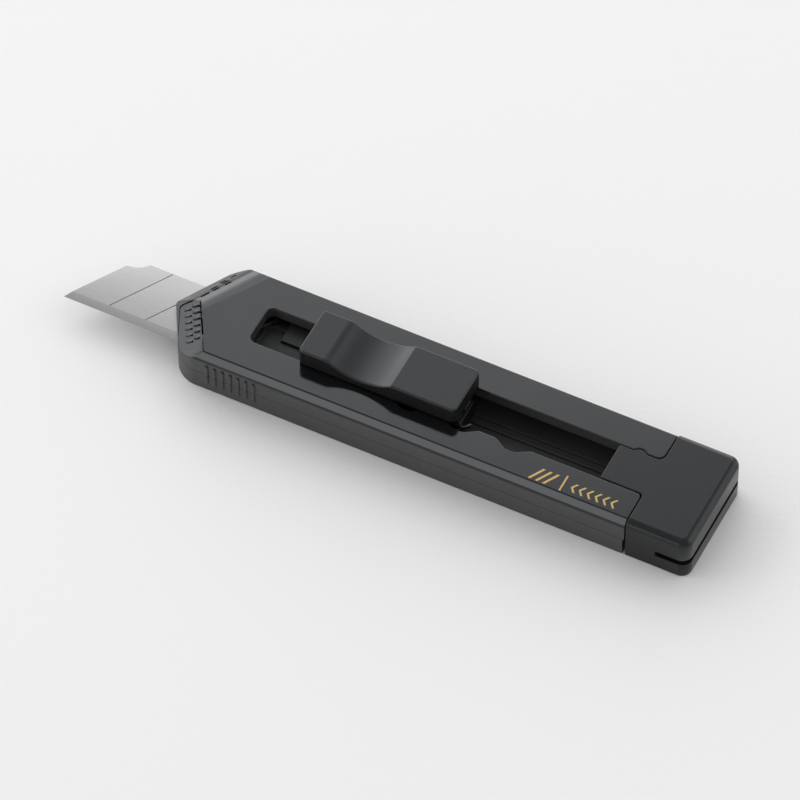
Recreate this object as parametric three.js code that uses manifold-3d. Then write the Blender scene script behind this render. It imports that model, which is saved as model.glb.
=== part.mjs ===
// Compact snap-off utility knife: two body shells, a pull-off tail cap that snaps spent segments,
// and a thumb slider that carries the blade on a holder and clicks from notch to notch.
// Millimetres. +X runs from the nose to the tail, -Y is the cutting edge's side, +Z is up.
// The origin is on the face that the knife rests on, on the centreline, halfway along the body.

import * as THREE from "three";
import { mergeVertices } from "three/addons/utils/BufferGeometryUtils.js";
import Module from "manifold-3d";

// Body.
const BODY_LENGTH = 72.8;
const BODY_WIDTH = 15.4;
const BODY_HEIGHT = 6.3;
const PARTING_HEIGHT = 2.8;
const NOSE_ANGLE = THREE.MathUtils.degToRad(30);
const NOSE_TIP_RADIUS = 0.6;
const NOSE_SHOULDER_RADIUS = 3.6;
const TAIL_CORNER_RADIUS = 1.2;
const TOP_CHAMFER_WIDTH = 0.7;
const TOP_CHAMFER_HEIGHT = 1.0;
const FACET_WIDTH = 2.95;
const FACET_LOW_EDGE = 4.0;

// Room inside the body.
const FLOOR_THICKNESS = 1.6;
const ROOF_THICKNESS = 1.5;
const CHANNEL_HALF_WIDTH = 5.4;
const NOSE_WALL = 4.5;
const FLOOR_RAIL = { height: 0.3, width: 0.35, places: [-2.3, -1.15, 1.15, 2.3] };
const SHELL_GAP = 0.1;
const PART_GAP = 0.15;
const FREE_GAP = 0.3;

// Slot in the roof, with the notches that the slider's spring clicks into.
const SLOT_FRONT = -24.95;
const SLOT_NEAR = -2.95;
const SLOT_FAR = 2.8;
const SLOT_CORNER_RADIUS = 0.9;
const NOTCH_PITCH = 7;
const NOTCH_AT_REST = 3.9;
const NOTCH_DEPTH = 1.05;
const NOTCH_MOUTH = 4.6;
const NOTCH_FLOOR = 1.2;
const NOTCH_RADIUS = 0.7;

// Grip ribs on both sides, near the nose.
const RIB_COUNT = 7;
const RIB_FIRST = -28.25;
const RIB_PITCH = 1.06;
const RIB_RADIUS = 0.27;
const RIB_LOW = 1.3;
const RIB_HIGH = 4.7;

// Tail cap, with a tongue that closes the slot and a slit that snaps segments off.
const CAP_FRONT = 27.95;
const TONGUE_FRONT = 22.36;
const SLIT_FRONT = 32.3;
const SLIT_LOW = 2.4;
const SLIT_HEIGHT = 0.85;
const PLUG_LENGTH = 3.2;

// Blade: a standard 9 mm strip, scored every 5 mm.
const BLADE_TIP = -49.5;
const BLADE_END = 0.6;
const BLADE_EDGE = -4.7;
const BLADE_WIDTH = 9;
const BLADE_THICKNESS = 0.38;
const BLADE_LOW = 2.82;
const BLADE_BEVEL = 1.1;
const BLADE_SNAP_ANGLE = THREE.MathUtils.degToRad(59);
const SEGMENT_PITCH = 5;
const SCORE_WIDTH = 0.16;
const SCORE_DEPTH = 0.12;
const PEG_PLACE = -2.2;
const PEG_RADIUS = 1.0;

// Thumb slider and what hangs under it.
const SLIDER_FRONT = -17.9;
const SLIDER_LENGTH = 21.2;
const SLIDER_WIDTH = 7.1;
const SLIDER_HEIGHT = 2.3;
const SLIDER_FRONT_PAD = 4.0;
const SLIDER_REAR_PAD = 8.6;
const SLIDER_DIP = 1.45;
const SLIDER_CORNER_RADIUS = 0.6;
const HOLDER_FRONT = -22.1;
const HOLDER_THICKNESS = 1.0;
const HOLDER_LIP = { length: 2.4, near: -1.4, far: 1.8, thickness: 0.4 };
const SPRING_THICKNESS = 0.3;
const SPRING_LENGTH = 12;

const bodyFront = -BODY_LENGTH / 2;
const bodyTail = BODY_LENGTH / 2;
const halfWidth = BODY_WIDTH / 2;
const noseCorner = bodyFront - NOSE_TIP_RADIUS * (1 / Math.cos(NOSE_ANGLE) - 1);
const roofLow = BODY_HEIGHT - ROOF_THICKNESS;
const sliderLow = BODY_HEIGHT + FREE_GAP;
const sliderRear = SLIDER_FRONT + SLIDER_LENGTH;
const bladeHigh = BLADE_LOW + BLADE_THICKNESS;
const bladeSpine = BLADE_EDGE + BLADE_WIDTH;
const holderLow = bladeHigh + FREE_GAP;
const holderHigh = holderLow + HOLDER_THICKNESS;
const beyond = 5;

const wasm = await Module();
wasm.setup();

const group = new THREE.Group();

// A three.js geometry as a solid that can be joined and cut.
function solid(geometry) {
  const plain = geometry.clone();
  plain.deleteAttribute("normal");
  plain.deleteAttribute("uv");
  const merged = mergeVertices(plain, 1e-4);
  return new wasm.Manifold(
    new wasm.Mesh({
      numProp: 3,
      vertProperties: merged.attributes.position.array,
      triVerts: new Uint32Array(merged.index.array),
    }),
  );
}

function addMesh(name, shape, material) {
  const { vertProperties, triVerts } = shape.getMesh();
  const geometry = new THREE.BufferGeometry();
  geometry.setAttribute("position", new THREE.BufferAttribute(vertProperties, 3));
  geometry.setIndex(new THREE.BufferAttribute(triVerts, 1));
  const faceted = geometry.toNonIndexed();
  faceted.computeVertexNormals();
  const mesh = new THREE.Mesh(faceted, material);
  mesh.name = name;
  group.add(mesh);
}

function box([xLow, xHigh], [yLow, yHigh], [zLow, zHigh]) {
  const geometry = new THREE.BoxGeometry(xHigh - xLow, yHigh - yLow, zHigh - zLow);
  geometry.translate((xLow + xHigh) / 2, (yLow + yHigh) / 2, (zLow + zHigh) / 2);
  return solid(geometry);
}

// A closed outline through corners [x, y, radius], each rounded by an arc of its radius.
function roundedShape(corners, arcSteps = 5) {
  const points = corners.flatMap(([x, y, radius = 0], i) => {
    const corner = new THREE.Vector2(x, y);
    if (radius === 0) return [corner];
    const before = new THREE.Vector2(...corners.at(i - 1).slice(0, 2)).sub(corner).normalize();
    const after = new THREE.Vector2(...corners[(i + 1) % corners.length].slice(0, 2)).sub(corner).normalize();
    const half = Math.acos(THREE.MathUtils.clamp(before.dot(after), -1, 1)) / 2;
    const tangent = radius / Math.tan(half);
    const centre = before.clone().add(after).setLength(radius / Math.sin(half)).add(corner);
    const start = before.clone().multiplyScalar(tangent).add(corner);
    const sweep = (Math.PI - 2 * half) * Math.sign(after.cross(before));
    return Array.from({ length: arcSteps + 1 }, (_, step) =>
      start.clone().rotateAround(centre, (sweep * step) / arcSteps),
    );
  });
  return new THREE.Shape(points);
}

function extrude(shape, depth) {
  return new THREE.ExtrudeGeometry(shape, { depth, bevelEnabled: false, steps: 1 });
}

// A prism that stands on its outline in plan.
function uprightPrism(shape, [zLow, zHigh]) {
  return solid(extrude(shape, zHigh - zLow).translate(0, 0, zLow));
}

// A prism across the knife, from a profile in X and Z.
function crossPrism(shape, [yLow, yHigh]) {
  return solid(extrude(shape, yHigh - yLow).rotateX(Math.PI / 2).translate(0, yHigh, 0));
}

// A prism along the knife, from a profile in Y and Z.
function lengthwisePrism(shape, [xLow, xHigh]) {
  const toLength = new THREE.Matrix4().makeBasis(
    new THREE.Vector3(0, 1, 0),
    new THREE.Vector3(0, 0, 1),
    new THREE.Vector3(1, 0, 0),
  );
  return solid(extrude(shape, xHigh - xLow).applyMatrix4(toLength).translate(xLow, 0, 0));
}

// A prism along one slanted side of the nose. Its profile is in inward distance and Z.
function nosePrism(shape, side) {
  const inward = new THREE.Vector3(Math.cos(NOSE_ANGLE), -side * Math.sin(NOSE_ANGLE), 0);
  const up = new THREE.Vector3(0, 0, 1);
  const along = inward.clone().cross(up);
  const reach = halfWidth + beyond;
  const start = new THREE.Vector3(noseCorner, 0, 0).addScaledVector(along, side > 0 ? -reach : -beyond);
  const place = new THREE.Matrix4().makeBasis(inward, up, along).setPosition(start);
  return solid(extrude(shape, reach + beyond).applyMatrix4(place));
}

function polygon(points) {
  return new THREE.Shape(points.map(([x, y]) => new THREE.Vector2(x, y)));
}

// The whole outside of the body, which the two shells and the cap are cut from.
function bodyBlock() {
  const shoulder = noseCorner + halfWidth * Math.tan(NOSE_ANGLE);
  const outline = roundedShape([
    [noseCorner, 0, NOSE_TIP_RADIUS],
    [shoulder, -halfWidth, NOSE_SHOULDER_RADIUS],
    [bodyTail, -halfWidth, TAIL_CORNER_RADIUS],
    [bodyTail, halfWidth, TAIL_CORNER_RADIUS],
    [shoulder, halfWidth, NOSE_SHOULDER_RADIUS],
  ]);
  let body = uprightPrism(outline, [0, BODY_HEIGHT]);
  const slope = TOP_CHAMFER_HEIGHT / TOP_CHAMFER_WIDTH;
  const facetSlope = (BODY_HEIGHT - FACET_LOW_EDGE) / FACET_WIDTH;
  for (const side of [-1, 1]) {
    const chamfer = polygon([
      [side * (halfWidth + 1), BODY_HEIGHT - TOP_CHAMFER_HEIGHT - slope],
      [side * (halfWidth + 1), BODY_HEIGHT + slope],
      [side * (halfWidth - TOP_CHAMFER_WIDTH - 1), BODY_HEIGHT + slope],
    ]);
    body = body.subtract(lengthwisePrism(chamfer, [bodyFront - beyond, bodyTail + beyond]));
    const facet = polygon([
      [-1, FACET_LOW_EDGE - facetSlope],
      [FACET_WIDTH + 1, BODY_HEIGHT + facetSlope],
      [-1, BODY_HEIGHT + facetSlope],
    ]);
    body = body.subtract(nosePrism(facet, side));
  }
  return body;
}

// The slot's outline in plan, with its wavy near edge.
function slotShape() {
  const notches = [NOTCH_AT_REST + NOTCH_PITCH, NOTCH_AT_REST, NOTCH_AT_REST - NOTCH_PITCH];
  const wave = notches.flatMap((centre) => [
    [centre + NOTCH_MOUTH / 2, SLOT_NEAR, NOTCH_RADIUS],
    [centre + NOTCH_FLOOR / 2, SLOT_NEAR - NOTCH_DEPTH, NOTCH_RADIUS],
    [centre - NOTCH_FLOOR / 2, SLOT_NEAR - NOTCH_DEPTH, NOTCH_RADIUS],
    [centre - NOTCH_MOUTH / 2, SLOT_NEAR, NOTCH_RADIUS],
  ]);
  return roundedShape([
    [SLOT_FRONT, SLOT_NEAR, SLOT_CORNER_RADIUS],
    [SLOT_FRONT, SLOT_FAR, SLOT_CORNER_RADIUS],
    [CAP_FRONT + beyond, SLOT_FAR],
    [CAP_FRONT + beyond, SLOT_NEAR],
    ...wave,
  ].reverse(), 3);
}

// The room that the blade and its holder slide in.
function channel([zLow, zHigh]) {
  const front = bodyFront + NOSE_WALL;
  const room = roundedShape([
    [front, -1.5],
    [front + 2.5, -CHANNEL_HALF_WIDTH],
    [CAP_FRONT + beyond, -CHANNEL_HALF_WIDTH],
    [CAP_FRONT + beyond, CHANNEL_HALF_WIDTH],
    [front + 2.5, CHANNEL_HALF_WIDTH],
    [front, 1.5],
  ]);
  return uprightPrism(room, [zLow, zHigh]);
}

// Half-round bars on both sides, within a range of heights.
function gripRibs([zLow, zHigh]) {
  const bars = [];
  for (const side of [-1, 1]) {
    for (let i = 0; i < RIB_COUNT; i += 1) {
      const bar = new THREE.CylinderGeometry(RIB_RADIUS, RIB_RADIUS, zHigh - zLow, 8);
      bar.rotateX(Math.PI / 2);
      bar.translate(RIB_FIRST + i * RIB_PITCH, side * (halfWidth - 0.05), (zLow + zHigh) / 2);
      bars.push(solid(bar));
    }
  }
  return bars.reduce((all, bar) => all.add(bar));
}

function addUpperHousing(material) {
  const low = PARTING_HEIGHT + SHELL_GAP / 2;
  const whole = [-halfWidth - 1, halfWidth + 1];
  const shell = bodyBlock()
    .intersect(box([bodyFront - 1, CAP_FRONT], whole, [low, BODY_HEIGHT + 1]))
    .subtract(channel([low - 1, roofLow]))
    .subtract(uprightPrism(slotShape(), [roofLow - 1, BODY_HEIGHT + 1]))
    .subtract(box(
      [bodyFront - 1, bodyFront + NOSE_WALL + beyond],
      [BLADE_EDGE - FREE_GAP, bladeSpine + FREE_GAP],
      [low - 1, bladeHigh + FREE_GAP],
    ))
    .add(gripRibs([low, RIB_HIGH]));
  addMesh("upper_housing", shell, material);
}

function addLowerHousing(material) {
  const high = PARTING_HEIGHT - SHELL_GAP / 2;
  const whole = [-halfWidth - 1, halfWidth + 1];
  let shell = bodyBlock()
    .intersect(box([bodyFront - 1, CAP_FRONT], whole, [-1, high]))
    .subtract(channel([FLOOR_THICKNESS, high + 1]))
    .subtract(box(
      [bodyFront - 1, bodyFront + NOSE_WALL + beyond],
      [BLADE_EDGE - FREE_GAP, bladeSpine + FREE_GAP],
      [BLADE_LOW - FREE_GAP, high + 1],
    ))
    .add(gripRibs([RIB_LOW, high]));
  for (const place of FLOOR_RAIL.places) {
    const rail = box(
      [bodyFront + NOSE_WALL + 1, CAP_FRONT - PLUG_LENGTH - 1],
      [place - FLOOR_RAIL.width / 2, place + FLOOR_RAIL.width / 2],
      [FLOOR_THICKNESS - 0.1, FLOOR_THICKNESS + FLOOR_RAIL.height],
    );
    shell = shell.add(rail);
  }
  addMesh("lower_housing", shell, material);
}

// The cap closes the tail. Its tongue fills the slot's rear end and its plug enters the channel.
function addTailCap(material) {
  const front = CAP_FRONT + PART_GAP;
  const whole = [-halfWidth - 1, halfWidth + 1];
  const tongue = box(
    [TONGUE_FRONT, front + 1],
    [SLOT_NEAR + PART_GAP, SLOT_FAR - PART_GAP],
    [roofLow - 0.2, BODY_HEIGHT],
  );
  const plugHalfWidth = CHANNEL_HALF_WIDTH - FREE_GAP;
  const plugLow = FLOOR_THICKNESS + FLOOR_RAIL.height + FREE_GAP;
  const plug = box(
    [front - PLUG_LENGTH, front + 1],
    [-plugHalfWidth, plugHalfWidth],
    [plugLow, roofLow - FREE_GAP],
  );
  const plugBridge = box(
    [front - PLUG_LENGTH, front + 1],
    [SLOT_NEAR + PART_GAP, SLOT_FAR - PART_GAP],
    [roofLow - FREE_GAP - 0.1, roofLow],
  );
  const slit = box([SLIT_FRONT, bodyTail + 1], whole, [SLIT_LOW, SLIT_LOW + SLIT_HEIGHT]);
  const pocket = box(
    [SLIT_FRONT - 2, SLIT_FRONT + 1],
    [-BLADE_WIDTH / 2 - 0.5, BLADE_WIDTH / 2 + 0.5],
    [SLIT_LOW, SLIT_LOW + SLIT_HEIGHT],
  );
  const cap = bodyBlock()
    .intersect(box([front, bodyTail + 1], whole, [-1, BODY_HEIGHT + 1]))
    .add(tongue)
    .add(plug)
    .add(plugBridge)
    .subtract(slit)
    .subtract(pocket);
  addMesh("tail_cap", cap, material);
}

// The blade lies flat. Its tip is the sharp corner, and each score line runs back from the edge.
function addBlade(material) {
  const lean = BLADE_WIDTH / Math.tan(BLADE_SNAP_ANGLE);
  const strip = roundedShape([
    [BLADE_TIP, BLADE_EDGE],
    [BLADE_END, BLADE_EDGE],
    [BLADE_END, bladeSpine],
    [BLADE_TIP + lean + 1.6, bladeSpine, 0.8],
    [BLADE_TIP + lean - 0.7, bladeSpine - 1.25, 0.3],
  ]);
  const bevelLean = BLADE_BEVEL / (BLADE_THICKNESS / 2 - 0.02);
  let blade = uprightPrism(strip, [BLADE_LOW, bladeHigh]);
  for (const up of [-1, 1]) {
    const middle = (BLADE_LOW + bladeHigh) / 2;
    const ground = polygon([
      [BLADE_EDGE - 1, middle + up * (0.02 - 1 / bevelLean)],
      [BLADE_EDGE + BLADE_BEVEL + 1, middle + up * (BLADE_THICKNESS / 2 + 1 / bevelLean)],
      [BLADE_EDGE - 1, middle + up * (BLADE_THICKNESS / 2 + 1)],
    ]);
    blade = blade.subtract(lengthwisePrism(ground, [BLADE_TIP - 1, BLADE_END + 1]));
  }
  const scoreCount = Math.floor((BLADE_END - BLADE_TIP - lean - 4) / SEGMENT_PITCH);
  const slant = 1 / Math.tan(BLADE_SNAP_ANGLE);
  for (let i = 1; i <= scoreCount; i += 1) {
    const foot = BLADE_TIP + i * SEGMENT_PITCH + BLADE_BEVEL * slant;
    const head = foot + (BLADE_WIDTH - BLADE_BEVEL + 1) * slant;
    const line = polygon([
      [foot, BLADE_EDGE + BLADE_BEVEL],
      [foot + SCORE_WIDTH, BLADE_EDGE + BLADE_BEVEL],
      [head + SCORE_WIDTH, bladeSpine + 1],
      [head, bladeSpine + 1],
    ]);
    blade = blade.subtract(uprightPrism(line, [bladeHigh - SCORE_DEPTH, bladeHigh + 1]));
  }
  const hole = new THREE.CylinderGeometry(PEG_RADIUS + 0.35, PEG_RADIUS + 0.35, 2, 20);
  hole.rotateX(Math.PI / 2).translate(PEG_PLACE, BLADE_EDGE + BLADE_WIDTH / 2, BLADE_LOW);
  addMesh("blade", blade.subtract(solid(hole)), material);
}

// The holder lies on the blade, with a thin lip in front. Its peg hooks the blade's hole and its
// rear post backs the spring.
function addBladeHolder(material) {
  const plate = box(
    [HOLDER_FRONT, sliderRear],
    [BLADE_EDGE + 0.2, bladeSpine - 0.2],
    [holderLow, holderHigh],
  );
  const lip = box(
    [HOLDER_FRONT - HOLDER_LIP.length, HOLDER_FRONT + 0.1],
    [HOLDER_LIP.near, HOLDER_LIP.far],
    [holderLow, holderLow + HOLDER_LIP.thickness],
  );
  const peg = new THREE.CylinderGeometry(PEG_RADIUS, PEG_RADIUS, 1.4, 20);
  peg.rotateX(Math.PI / 2).translate(PEG_PLACE, BLADE_EDGE + BLADE_WIDTH / 2, holderLow - 0.5);
  const post = box(
    [BLADE_END + FREE_GAP, sliderRear],
    [-2.4, 2],
    [FLOOR_THICKNESS + FLOOR_RAIL.height + FREE_GAP, holderHigh + 0.3],
  );
  addMesh("blade_holder", plate.add(lip).add(solid(peg)).add(post), material);
}

// The thumb pad, dished in front of a sharp step, on a stem that runs in the slot.
function addThumbSlider(material) {
  const high = sliderLow + SLIDER_HEIGHT;
  const dishFront = SLIDER_FRONT + SLIDER_FRONT_PAD;
  const dishRear = sliderRear - SLIDER_REAR_PAD;
  const halfChord = (dishRear - dishFront) / 2;
  const radius = (halfChord ** 2 + SLIDER_DIP ** 2) / (2 * SLIDER_DIP);
  const spread = Math.asin(halfChord / radius);
  const profile = new THREE.Shape();
  profile.moveTo(SLIDER_FRONT, sliderLow);
  profile.lineTo(sliderRear, sliderLow);
  profile.lineTo(sliderRear, high);
  profile.lineTo(dishRear, high);
  const centreHeight = high - SLIDER_DIP + radius;
  const down = -Math.PI / 2;
  profile.absarc((dishFront + dishRear) / 2, centreHeight, radius, down + spread, down - spread, true);
  profile.lineTo(SLIDER_FRONT, high);
  const halfPad = SLIDER_WIDTH / 2;
  const plan = roundedShape([
    [SLIDER_FRONT, -halfPad, SLIDER_CORNER_RADIUS],
    [sliderRear, -halfPad, SLIDER_CORNER_RADIUS],
    [sliderRear, halfPad, SLIDER_CORNER_RADIUS],
    [SLIDER_FRONT, halfPad, SLIDER_CORNER_RADIUS],
  ]);
  const pad = crossPrism(profile, [-halfPad - 1, halfPad + 1])
    .intersect(uprightPrism(plan, [sliderLow - 1, high + 1]));
  const stemLow = holderHigh + FREE_GAP;
  const stem = box(
    [SLIDER_FRONT + 0.5, sliderRear - 0.4],
    [SLOT_NEAR + 0.4, SLOT_FAR - 0.35],
    [stemLow, sliderLow + 0.1],
  );
  const springRoom = box(
    [sliderRear - SPRING_LENGTH - FREE_GAP, sliderRear + 1],
    [SLOT_NEAR - 1, SLOT_NEAR + 0.4 + SPRING_THICKNESS + 2 * FREE_GAP],
    [stemLow - 1, BODY_HEIGHT + 0.1],
  );
  addMesh("thumb_slider", pad.add(stem.subtract(springRoom)), material);
}

// A flat steel spring along the stem. Its tooth stands behind the slider and rides the notches.
function addDetentSpring(material) {
  const near = SLOT_NEAR + 0.4 + FREE_GAP;
  const far = near + SPRING_THICKNESS;
  const toothTip = SLOT_NEAR + PART_GAP;
  const leaf = roundedShape([
    [sliderRear - SPRING_LENGTH, near],
    [NOTCH_AT_REST - 0.9, near],
    [NOTCH_AT_REST - 0.25, toothTip],
    [NOTCH_AT_REST + 0.25, toothTip],
    [NOTCH_AT_REST + 0.9, near],
    [NOTCH_AT_REST + 0.9, far],
    [sliderRear - SPRING_LENGTH, far],
  ]);
  const low = holderHigh + 2 * FREE_GAP;
  addMesh("detent_spring", uprightPrism(leaf, [low, BODY_HEIGHT - FREE_GAP]), material);
}

const glossBlack = new THREE.MeshStandardMaterial({ color: 0x1b1c1e, roughness: 0.18, metalness: 0 });
const satinBlack = new THREE.MeshStandardMaterial({ color: 0x232423, roughness: 0.45, metalness: 0 });
const capBlack = new THREE.MeshStandardMaterial({ color: 0x242526, roughness: 0.4, metalness: 0 });
const mattBlack = new THREE.MeshStandardMaterial({ color: 0x2a2b2c, roughness: 0.6, metalness: 0 });
const holderGrey = new THREE.MeshStandardMaterial({ color: 0x303132, roughness: 0.5, metalness: 0 });
const springSteel = new THREE.MeshStandardMaterial({ color: 0x9a9b9c, roughness: 0.35, metalness: 1 });
const bladeSteel = new THREE.MeshStandardMaterial({ color: 0xb4b3b0, roughness: 0.32, metalness: 1 });

addUpperHousing(glossBlack);
addLowerHousing(satinBlack);
addTailCap(capBlack);
addBlade(bladeSteel);
addBladeHolder(holderGrey);
addThumbSlider(mattBlack);
addDetentSpring(springSteel);

export default group;
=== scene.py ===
import math

import bmesh
import bpy
from mathutils import Matrix, Vector


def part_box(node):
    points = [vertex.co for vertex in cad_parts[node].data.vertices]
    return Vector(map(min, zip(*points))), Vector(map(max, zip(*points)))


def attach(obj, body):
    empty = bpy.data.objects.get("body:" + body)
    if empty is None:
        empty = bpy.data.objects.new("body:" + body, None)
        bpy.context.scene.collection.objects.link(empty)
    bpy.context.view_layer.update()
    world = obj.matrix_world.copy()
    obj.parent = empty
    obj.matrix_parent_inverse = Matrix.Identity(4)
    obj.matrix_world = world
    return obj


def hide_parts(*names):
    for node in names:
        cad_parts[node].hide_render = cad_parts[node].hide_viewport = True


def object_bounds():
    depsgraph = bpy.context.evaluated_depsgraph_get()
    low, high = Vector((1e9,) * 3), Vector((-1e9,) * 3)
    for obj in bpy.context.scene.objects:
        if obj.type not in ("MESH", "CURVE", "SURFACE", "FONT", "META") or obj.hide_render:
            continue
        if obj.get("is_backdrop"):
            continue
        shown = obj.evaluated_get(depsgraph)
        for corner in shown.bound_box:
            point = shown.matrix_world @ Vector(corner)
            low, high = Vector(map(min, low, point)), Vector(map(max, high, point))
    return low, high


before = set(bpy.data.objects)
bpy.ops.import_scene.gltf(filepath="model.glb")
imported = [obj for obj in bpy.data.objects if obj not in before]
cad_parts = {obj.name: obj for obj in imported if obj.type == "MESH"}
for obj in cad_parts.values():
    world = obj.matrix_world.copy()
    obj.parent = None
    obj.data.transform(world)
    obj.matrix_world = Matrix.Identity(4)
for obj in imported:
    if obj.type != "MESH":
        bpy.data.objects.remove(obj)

cad_low, cad_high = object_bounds()

# ---------------------------------------------------------------------------------------------
# Upper housing. A thin moulded shell in black styrene, polished on top and left satin down its
# sides. The slot with its wavy near edge is moulded through the roof, and the two slanted nose
# faces carry relief marks. It snaps onto the lower housing along the parting line.

MM = 0.001
NOSE_ANGLE = math.radians(30)
FACET_WIDTH = 2.95
FACET_LOW_EDGE = 4.0
PROW_RADIUS = 0.35
SHOULDER_RADIUS = 3.6
CHAMFER_WIDTH, CHAMFER_HEIGHT = 0.7, 1.0
CHAMFER_TOP_RADIUS, CHAMFER_FOOT_RADIUS = 0.12, 0.24
PARTING_GAP = 0.05
ROOF_THICKNESS = 1.5
CHANNEL_HALF_WIDTH = 5.4
MOUTH_NEAR, MOUTH_FAR, MOUTH_HIGH, MOUTH_LENGTH = -5.0, 4.6, 3.5, 6
SLOT_FRONT, SLOT_NEAR, SLOT_FAR = -24.95, -2.95, 2.8
SLOT_FAR_BEHIND_LATCH = SLOT_FAR + 0.1
SLOT_END_RADIUS = 0.9
NOTCH_CENTRES = (-3.1, 3.9, 10.9)
NOTCH_DEPTH = 1.05
NOTCH_MOUTH, NOTCH_FLOOR = 2.3, 0.65
LATCH_FRONT, LATCH_REAR = 24.2, 26.05
LATCH_TOP = SLOT_FAR + 0.5
LATCH_RADIUS = 0.35
TONGUE_INNER, TONGUE_OUTER = 5.9, 6.3
TONGUE_SETBACK, TONGUE_REAR_SETBACK = 5, 1.5
TONGUE_RISE, GROOVE_RISE, GROOVE_SPARE = 0.4, 0.45, 0.03
RIB_RADIUS, RIB_PITCH, RIB_COUNT, FIRST_RIB = 0.27, 1.06, 7, -28.25
RIB_SUNK = 0.05
RIB_DOME_RADIUS = 0.2
RIB_LOW, RIB_HIGH = 1.3, 4.7

shell_low, shell_high = (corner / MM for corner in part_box("upper_housing"))
cap_low, cap_high = (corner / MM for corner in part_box("tail_cap"))
parting = shell_low.z - PARTING_GAP
body_top = shell_high.z
half_width = cap_high.y
nose_corner = shell_low.x - 0.09
seam = shell_high.x
slot_rear = cap_low.x


def prism(outline, low, high):
    """An upright prism on a plan outline, in millimetres."""
    bm = bmesh.new()
    base = bm.faces.new([bm.verts.new((x, y, low)) for x, y in outline])
    grown = bmesh.ops.extrude_face_region(bm, geom=[base])["geom"]
    rising = [g for g in grown if isinstance(g, bmesh.types.BMVert)]
    bmesh.ops.translate(bm, verts=rising, vec=(0, 0, high - low))
    bmesh.ops.recalc_face_normals(bm, faces=bm.faces)
    return bm


def block(low, high):
    """A box between two corners."""
    outline = [(low[0], low[1]), (high[0], low[1]), (high[0], high[1]), (low[0], high[1])]
    return prism(outline, low[2], high[2])


def round_edges(bm, edges, offset, segments, clamp=False):
    """Rounds the given edges, taking the same width from both faces of each."""
    bmesh.ops.bevel(
        bm, geom=edges, offset=offset, offset_type="OFFSET", segments=segments, profile=0.5,
        affect="EDGES", clamp_overlap=clamp, material=-1,
    )


def round_upright(bm, corners, radius, segments=8):
    """Rounds the upright edges that stand at the given plan corners."""
    for x, y in corners:
        standing = [
            e for e in bm.edges
            if all(math.hypot(v.co.x - x, v.co.y - y) < 0.02 for v in e.verts)
        ]
        turn = standing[0].calc_face_angle()
        round_edges(bm, standing, radius * math.tan(turn / 2), segments)


def slice_off(bm, point, normal):
    """Cuts away what lies on the normal's side of a plane, and closes the cut."""
    everything = bm.verts[:] + bm.edges[:] + bm.faces[:]
    cut = bmesh.ops.bisect_plane(
        bm, geom=everything, plane_co=point, plane_no=normal, clear_outer=True,
    )
    rim = [g for g in cut["geom_cut"] if isinstance(g, bmesh.types.BMEdge)]
    bmesh.ops.edgenet_fill(bm, edges=rim)
    bmesh.ops.recalc_face_normals(bm, faces=bm.faces)


def combine(bm, tool, operation="DIFFERENCE"):
    """Cuts one solid with another, or joins them, and returns the result."""
    pair = []
    for part in (bm, tool):
        mesh = bpy.data.meshes.new("work")
        part.to_mesh(mesh)
        part.free()
        pair.append(bpy.data.objects.new("work", mesh))
        bpy.context.scene.collection.objects.link(pair[-1])
    boolean = pair[0].modifiers.new("cut", "BOOLEAN")
    boolean.operation = operation
    boolean.solver = "EXACT"
    boolean.object = pair[1]
    bpy.context.view_layer.update()
    result = bmesh.new()
    result.from_object(pair[0], bpy.context.evaluated_depsgraph_get())
    for work in pair:
        mesh = work.data
        bpy.data.objects.remove(work)
        bpy.data.meshes.remove(mesh)
    bmesh.ops.remove_doubles(result, verts=result.verts, dist=0.0005)
    bmesh.ops.dissolve_limit(
        result, angle_limit=math.radians(0.3), verts=result.verts, edges=result.edges,
    )
    return result


def edge_middle(edge):
    return (edge.verts[0].co + edge.verts[1].co) / 2


def soften(bm, offset, where=None, segments=4, sharper_than=25):
    """Rounds the edges that turn more than an angle and whose middle passes a test."""
    edges = [
        e for e in bm.edges
        if e.is_manifold
        and e.calc_face_angle() > math.radians(sharper_than)
        and (where is None or where(edge_middle(e)))
    ]
    round_edges(bm, edges, offset, segments, clamp=True)


def finish_piece(bm, name, materials, body, replaced=()):
    """Makes the solid a smooth-shaded object in metres that rides on its body."""
    bmesh.ops.scale(bm, vec=(MM, MM, MM), verts=bm.verts)
    mesh = bpy.data.meshes.new(name)
    bm.to_mesh(mesh)
    bm.free()
    mesh.shade_smooth()
    mesh.set_sharp_from_angle(angle=math.radians(32))
    for material in materials:
        mesh.materials.append(material)
    piece = bpy.data.objects.new(name, mesh)
    bpy.context.scene.collection.objects.link(piece)
    weighted = piece.modifiers.new("weighted_normals", "WEIGHTED_NORMAL")
    weighted.keep_sharp = True
    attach(piece, body)
    if replaced:
        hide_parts(*replaced)
    return piece


def nose_inward(side):
    """The level direction that points into the body from one slanted side of the nose."""
    return Vector((math.cos(NOSE_ANGLE), -side * math.sin(NOSE_ANGLE), 0))


def nose_run(side):
    """The level direction back along one slanted side of the nose."""
    return Vector((math.sin(NOSE_ANGLE), side * math.cos(NOSE_ANGLE), 0))


def facet_normal(side):
    """The direction straight out of one slanted nose face."""
    rise = body_top - FACET_LOW_EDGE
    return (Vector((0, 0, FACET_WIDTH)) - nose_inward(side) * rise).normalized()


def facet_point(side, depth=0.0):
    """A point at a depth under one slanted nose face."""
    return Vector((nose_corner, 0, FACET_LOW_EDGE)) - facet_normal(side) * depth


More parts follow.
